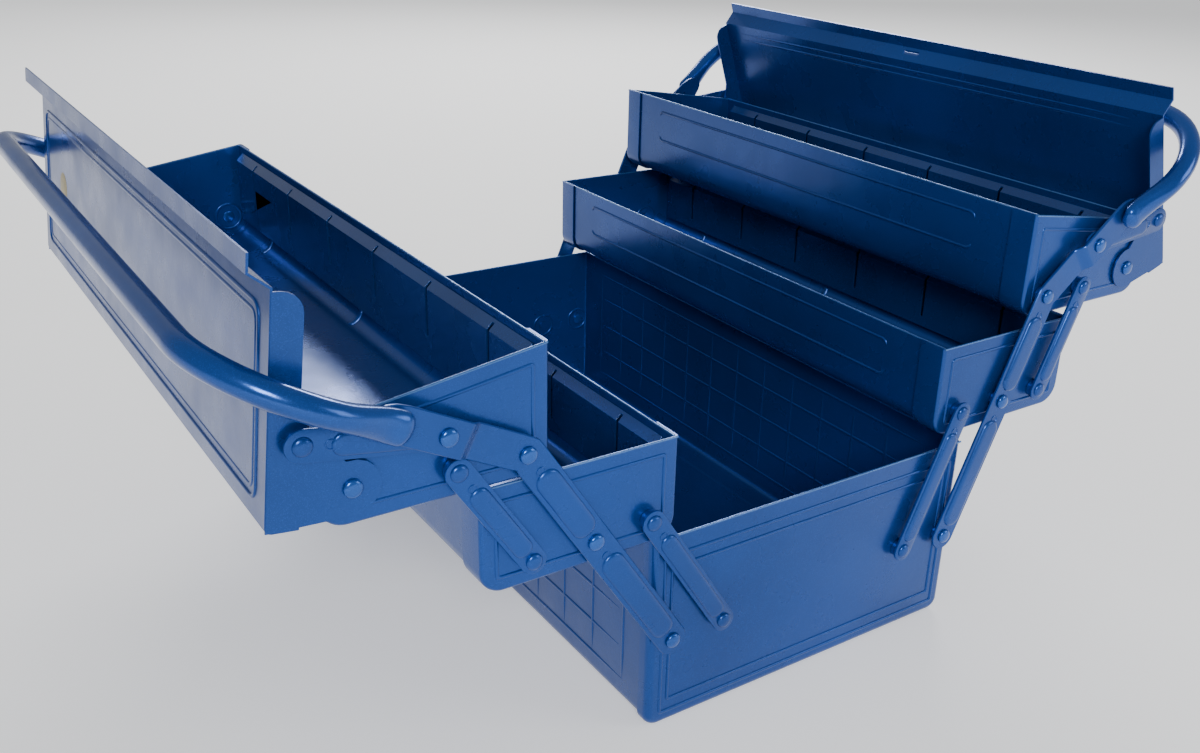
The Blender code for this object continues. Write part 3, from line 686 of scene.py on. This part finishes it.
def base_grid(label, outward, inset):
    """Level and upright lines on both long walls of the base, on one face of the sheet."""
    shape = {"half_width": 1.1, "height": 0.6}
    levels = (16.0, 36.0, 59.0, 82.0, 102.0)
    reach = {16.0: 180.0, 102.0: 180.0}
    upright = 30.0
    lines = []
    for sign in SIGN.values():
        face = sign * (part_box("base_wrap")[1][0] / MM - inset)
        normal = Vector((sign * outward, 0, 0))
        for level in levels:
            path = [spot(face, y, level) for y in along_box(reach.get(level, 176.0))]
            lines.append((path, normal, shape))
        for k in range(13):
            path = [spot(face, (k - 6) * upright, 17.0 + 84.0 * n / 6) for n in range(7)]
            lines.append((path, normal, shape))
    # The grid takes the darker enamel: painted shade.
    line_piece("base_wall_grid_" + label, "base", "inner_paint", SHADED_ENAMEL, lines)


base_grid("outside", 1, 0)
base_grid("inside", -1, SHEET)


# ---------------------------------------------------------------- arms, links and rivets

EYELET_BACK = 11.3                            # a punched hole's distance short of the rivet


def rivet_piece(side, joint, end_name, node, body, tail, collar, head):
    """A rivet: tail inside the panel, an optional collar between plates, and a domed head."""
    made = bmesh.new()
    at = Place(side, pivot(side, joint))
    tail_face = HALF + tail
    profile = [(0, tail_face - TAIL_HEIGHT), (0.75 * TAIL_RADIUS, tail_face - TAIL_HEIGHT),
               (TAIL_RADIUS, tail_face - 0.7 * TAIL_HEIGHT), (TAIL_RADIUS, tail_face),
               (SHANK, tail_face)]
    if collar:
        profile += [(SHANK, HALF + collar[0]), (COLLAR, HALF + collar[0]),
                    (COLLAR, HALF + collar[1]), (SHANK, HALF + collar[1])]
    profile += [(SHANK, HALF + head)] + dome(HEAD_RADIUS, HALF + head, HEAD_HEIGHT)
    turned(made, at, ENDS[end_name], 0.0, profile)
    attach(finish_mesh(made, "domed_" + node, RIVET, 30.0), body, "rivet_steel", node)


def link_piece(side, low, high, end_name, node, body, layer, half, pinned):
    """A pressed link; pinned links carry both their rivets, a lid link only its far one."""
    end = ENDS[end_name]
    at = Place(side, low, heading(low, high))
    length = (high - low).length
    face = HALF + layer + LINK_SHEET
    washer = HALF + layer + 0.5
    head = [(0, face - 0.4)] + dome(HEAD_RADIUS, face - 0.4, HEAD_HEIGHT + 0.3)
    made = bmesh.new()
    slab(made, at, end, stadium(0, length, half, 12), HALF + layer, face)
    bead(made, at, end, 10.5, length - 17.0, half * 0.76, face, 1.35)
    eyelet(made, at, end, length - EYELET_BACK, face)
    if pinned:
        tail = HALF - SHEET - GAP
        stem = [(0, tail - TAIL_HEIGHT), (TAIL_RADIUS, tail - TAIL_HEIGHT), (TAIL_RADIUS, tail),
                (SHANK, tail), (SHANK, HALF + GAP), (COLLAR, HALF + GAP), (COLLAR, washer),
                (0, washer)]
        for reach in (0, length):
            turned(made, at, end, reach, stem)
            turned(made, at, end, reach, head)
    else:
        foot = HALF + EAR_LAYER + SHEET + GAP
        turned(made, at, end, length, [(0, foot), (COLLAR, foot), (COLLAR, washer), (0, washer)])
        turned(made, at, end, length, head)
    attach(finish_mesh(made, "pressed_" + node, OUTER, 32.0), body, "outer_paint", node)


def arm_rows(end, at, knee):
    """Sections of an arm from its lower end, round the knee and over the step to the tube."""
    up = Vector((0, 1))
    lean = direction(LEAN)
    stations = []
    for k in range(13):
        turn = math.pi / 2 * k / 12
        stations.append((up * (-ARM_HALF * math.cos(turn)), up,
                         ARM_HALF * max(math.sin(turn), 0.05), ARM_LAYER))
    stations += [(up * w, up, ARM_HALF, ARM_LAYER) for w in (20, 60, 100, knee - 12)]
    crown = Vector((0, knee))
    for k in range(9):
        along = direction(LEAN * k / 8)
        reach = 7.0 * (k - 4) / 4
        stations.append((crown + (up if k < 4 else lean) * reach, along, ARM_HALF, ARM_LAYER))
    middle, rise = sum(JOGGLE) / 2, HANDLE_LAYER - ARM_LAYER
    for k in range(9):
        part = k / 8
        ease = (1 - math.cos(math.pi * part)) / 2
        reach = JOGGLE[0] + (JOGGLE[1] - JOGGLE[0]) * part
        stations.append((crown + lean * reach, lean, ARM_HALF, ARM_LAYER + rise * ease))
    # The tip narrows under the tube; half is a share of the arm's half width.
    for reach, half in ((55, 1.0), (66, 1.0), (72, 0.92), (76, 0.74), (79, 0.5), (80, 0.3)):
        stations.append((crown + lean * reach, lean, ARM_HALF * half, HANDLE_LAYER))
    rows = []
    for centre, along, half, layer in stations:
        across = Vector((along.y, -along.x))
        face = HALF + layer
        ease = min(0.4, 0.4 * half)
        section = [(-half, 0.4), (-half + ease, 0), (half - ease, 0), (half, 0.4),
                   (half, ARM_SHEET - 0.4), (half - ease, ARM_SHEET),
                   (-half + ease, ARM_SHEET), (-half, ARM_SHEET - 0.4)]
        row = []
        for side, out in section:
            here = centre + across * side
            row.append(at(here.x, end * (face + out), here.y))
        rows.append(row)
    return rows


def tube_rows(at, knee):
    """Sections of the tube: flattened where it laps the arm, round along the grip."""
    lean = direction(LEAN)
    crown = Vector((0, knee))
    bend_start = GRIP_REACH - HANDLE_BEND
    flat_half, flat_thick, seat = 7.7, 4.3, HANDLE_LAYER + ARM_SHEET
    # One end of the tube, as (reach, layer, half width, half thickness): the flattened tip first.
    one = []
    first = TUBE_START - 9
    for k in range(10):
        turn = math.pi / 2 * k / 9
        size = max(math.sin(turn), 0.04)
        one.append((first + 4.5 * (1 - math.cos(turn)), seat + flat_thick * (0.3 + 0.7 * size),
                    flat_half * (0.35 + 0.65 * size), flat_thick * (0.3 + 0.7 * size)))
    start = first + 4.5
    for k in range(1, 19):
        part = k / 18
        ease = (1 - math.cos(math.pi * part)) / 2
        swell = min(1.0, part * 1.15)
        swell = swell * swell * (3 - 2 * swell)
        wide = flat_half + (TUBE_RADIUS - flat_half) * swell
        thick = flat_thick + (TUBE_RADIUS - flat_thick) * swell
        low = seat + flat_thick
        layer = low + (FLARED_LAYER - low) * ease
        one.append((start + (bend_start - start) * part, layer, wide, thick))
    for k in range(1, 15):
        turn = math.pi / 2 * k / 14
        one.append((bend_start + HANDLE_BEND * math.sin(turn),
                    FLARED_LAYER - HANDLE_BEND * (1 - math.cos(turn)), TUBE_RADIUS, TUBE_RADIUS))
    # The whole tube, as (reach, y, half width, half thickness), from the near end to the far.
    route = [(reach, -(HALF + layer), wide, thick) for reach, layer, wide, thick in one]
    straight = HALF + FLARED_LAYER - HANDLE_BEND
    grip = [(GRIP_REACH, y, TUBE_RADIUS, TUBE_RADIUS)
            for y in (-straight * 0.66, -straight * 0.33, 0, straight * 0.33, straight * 0.66)]
    route += grip + [(reach, -y, wide, thick) for reach, y, wide, thick in reversed(route)]
    rows = []
    count = len(route)
    for k, (reach, y, wide, thick) in enumerate(route):
        before, after = route[max(k - 1, 0)], route[min(k + 1, count - 1)]
        along = Vector((after[0] - before[0], after[1] - before[1])).normalized()
        normal = Vector((-along.y, along.x))
        # A flattened section is squarer than a round one.
        power = 1 / (1.0 + 0.25 * (1 - thick / TUBE_RADIUS))
        row = []
        for c, s in circle(1.0, 28):
            a = math.copysign(abs(c) ** power, c) * wide
            b = math.copysign(abs(s) ** power, s) * thick
            here = crown + lean * (reach + normal.x * b) + Vector((lean.y, -lean.x)) * a
            row.append(at(here.x, y + normal.y * b, here.y))
        rows.append(row)
    return rows


def handle_piece(side):
    """A side's two long arms as one piece, and its tube as another."""
    body = side + "_handle"
    low, middle, top = arm_pivots(side)
    at = Place(side, low, heading(low, top))
    knee = (top - low).length
    made = bmesh.new()
    for end in ENDS.values():
        loft(made, arm_rows(end, at, knee))
        face = HALF + ARM_LAYER + ARM_SHEET
        first = (middle - low).length
        bead(made, at, end, 13.0, first - 18.5, 6.5, face, 1.4)
        bead(made, at, end, first + 13.0, knee - 19.0, 6.5, face, 1.4)
        eyelet(made, at, end, first - EYELET_BACK, face)
        eyelet(made, at, end, knee - 11.8, face)
    attach(finish_mesh(made, side + "_handle_arms", OUTER, 32.0), body, "outer_paint", body)
    made = bmesh.new()
    loft(made, tube_rows(at, knee))
    attach(finish_mesh(made, side + "_handle_tube", TUBE, 50.0), body, "outer_paint")


for side in SIGN:
    handle_piece(side)
    low, middle, top = arm_pivots(side)
    inner, outer = pivot(side, "lower_link_pivot"), pivot(side, "upper_link_pivot")
    knuckle = pivot(side, "lid_link_pivot")
    eye = knuckle + direction(LID_LINK_OPEN + LID_LINK_TURN * closing(side)) * LID_LINK_LENGTH
    for end_name in ENDS:
        link_piece(side, inner, inner + middle - low, end_name, side + "_lower_link_" + end_name,
                   side + "_lower_links", LINK_LAYER, LINK_HALF, True)
        link_piece(side, outer, outer + top - middle, end_name, side + "_upper_link_" + end_name,
                   side + "_upper_links", LINK_LAYER, LINK_HALF, True)
        link_piece(side, knuckle, eye, end_name, side + "_lid_link_" + end_name,
                   side + "_lid_links", LID_LINK_LAYER, LID_LINK_HALF, False)
        head = ARM_LAYER + ARM_SHEET + GAP
        for joint, node, body in (("arm_swing", "arm_rivet_base", "base"),
                                  ("mid_tray_pivot", "arm_rivet_mid_tray", side + "_mid_tray"),
                                  ("top_tray_pivot", "arm_rivet_top_tray", side + "_top_tray")):
            rivet_piece(side, joint, end_name, side + "_" + node + "_" + end_name, body,
                        ARM_TAIL, ARM_COLLAR, head)
        rivet_piece(side, "lid_hinge", end_name, side + "_lid_rivet_" + end_name,
                    side + "_top_tray", ARM_TAIL, None, EAR_LAYER + SHEET + GAP)
        rivet_piece(side, "lid_link_pivot", end_name, side + "_lid_link_rivet_" + end_name,
                    side + "_handle", LID_LINK_LAYER - GAP, None,
                    HANDLE_LAYER + ARM_SHEET + GAP)


# ---------------------------------------------------------------- pressed seats and gussets

SEAT_RADIUS = 8.6


def seat_rings(name, body, centres, face):
    """Round pressed seats about the rivets, on the inner faces of both end panels."""
    lines = []
    for end in ENDS.values():
        for x, z in centres:
            ring = [spot(x + a, end * face, z + b) for a, b in circle(SEAT_RADIUS, 32)]
            lines.append((ring, Vector((0, -end, 0)),
                          {"closed": True, "half_width": 1.1, "height": 0.6}))
    line_piece(name, body, "outer_paint", OUTER, lines)


def gusset(name, body, box):
    """Small beads pressed across the bends between a tray's walls and its floor."""
    made = bmesh.new()
    radius = TRAY_CORNER - 2 * SHEET - GAP
    low = box[0][2] / MM + SHEET
    for edge, inward in ((box[0][0] / MM, 1), (box[1][0] / MM, -1)):
        for y in (-150.0, 0.0, 150.0):
            path = []
            for k in range(11):
                turn = math.pi / 2 * (0.08 + 0.84 * k / 10)
                u = SHEET + radius * (1 - math.cos(turn))
                path.append(spot(edge + inward * u, y, low + radius * (1 - math.sin(turn))))
            ridge(made, path, Vector((inward, 0, 1)), half_width=2.2, height=1.4)
    # The gussets take the darker enamel: painted shade.
    attach(finish_mesh(made, name, SHADED_ENAMEL, 60.0), body, "inner_paint")


for side, sign in SIGN.items():
    low, middle, top = arm_pivots(side)
    inner, outer = pivot(side, "lower_link_pivot"), pivot(side, "upper_link_pivot")
    face = HALF - SHEET
    for label, centres in (("base", (low, inner)),
                           (side + "_mid_tray", (middle, inner + middle - low, outer)),
                           (side + "_top_tray", (top, outer + top - middle))):
        back = TOP_PAN_BACK if "top" in label else 0.0
        seat_rings(side + "_seats_" + label, label, [(sign * c.x, c.y) for c in centres],
                   face - back)
    for tray in TRAYS:
        body = side + "_" + tray + "_tray"
        gusset(body + "_gussets", body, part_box(body + "_wrap"))


# ---------------------------------------------------------------- lids

# Each line of the border is (in from the outermost line, corner radius, height).
LID_BORDERS = ((0.0, 7.0, 0.8), (4.0, 4.5, 0.45))
# (radius, height above the lid's face) over the label, from its edge to its middle
LABEL_PROFILE = ((9.0, -0.05), (9.0, 0.08), (8.7, 0.16), (7.9, 0.16), (7.8, 0.2), (0.01, 0.2))
LABEL_SPOT = (152, 38)                        # along the box, and up the lid's panel

for side in SIGN:
    at = lid_place(side)
    out = (at(1, 0, 0) - at(0, 0, 0)).normalized()
    borders = []
    for inset, radius, height in LID_BORDERS:
        low, high, reach = inset - 5.0, LID_PANEL_TOP - 9.0 - inset, 196.0 - inset
        ring = rounded([(-reach, low), (reach, low), (reach, high), (-reach, high)], radius, 6)
        borders.append(([at(LID_FACE, y, w) for y, w in ring], out,
                        {"closed": True, "half_width": 1.05, "height": height}))
    line_piece(side + "_lid_border", side + "_lid", "outer_paint", OUTER, borders)
    lines = []
    for level in (LID_PANEL_TOP - 6.0, LID_PANEL_TOP - 11.0):
        path = [at(LID_FACE - SHEET, y, level) for y in along_box(188)]
        lines.append((path, -out, {"half_width": 1.0, "height": 0.45}))
    line_piece(side + "_lid_inner_lines", side + "_lid", "outer_paint", OUTER, lines)

at = lid_place("left")
made = bmesh.new()
loft(made, [[at(LID_FACE + rise, LABEL_SPOT[0] + a, LABEL_SPOT[1] + b)
             for a, b in circle(radius, 40)] for radius, rise in LABEL_PROFILE])
attach(finish_mesh(made, "left_lid_blank_label", FOIL, 50.0), "left_lid", "outer_paint")


# ---------------------------------------------------------------- stage, light and camera

FLOOR_STEPS = (-60.0, -3.0, 3.0, 60.0)        # metres; far past anything in view
made = bmesh.new()
loft(made, [[Vector((x, y, -0.0005)) for x in FLOOR_STEPS] for y in FLOOR_STEPS],
     closed_points=False, caps=False)
finish_mesh(made, "studio_floor", floor_material(), 60.0)


def area_light(name, place, target, size, power):
    """A soft light aimed at a target; metres and watts."""
    data = bpy.data.lights.new(name, "AREA")
    data.shape = "RECTANGLE"
    data.size, data.size_y = size
    data.energy = power
    lamp = bpy.data.objects.new(name, data)
    bpy.context.scene.collection.objects.link(lamp)
    lamp.location = place
    aim = Vector(target) - Vector(place)
    lamp.rotation_euler = aim.to_track_quat("-Z", "Y").to_euler()


area_light("key", (-1.3, -2.2, 1.5), (0, 0, 0.15), (0.9, 0.7), 60)
area_light("back", (1.3, 1.9, 1.5), (0, 0, 0.15), (1.8, 0.45), 50)
area_light("fill", (1.6, -1.8, 0.9), (0.1, 0, 0.15), (1.0, 1.0), 12)

world = bpy.data.worlds.new("studio")
bpy.context.scene.world = world
world.use_nodes = True
sky = world.node_tree.nodes["Background"].inputs
sky["Color"].default_value = (0.93, 0.96, 1.0, 1.0)
sky["Strength"].default_value = 0.42

# The camera stands where the fit of the linkage to the photograph puts it.
view = bpy.data.cameras.new("camera")
camera = bpy.data.objects.new("camera", view)
bpy.context.scene.collection.objects.link(camera)
camera.location = (-0.4163, -0.6253, 0.4290)
camera.rotation_euler = [math.radians(a) for a in (66.230, -1.924, -34.360)]
view.lens = 36.79
view.sensor_width = 36.0
view.shift_x = -0.0352
view.shift_y = 0.0053
view.clip_end = 30.0
bpy.context.scene.camera = camera
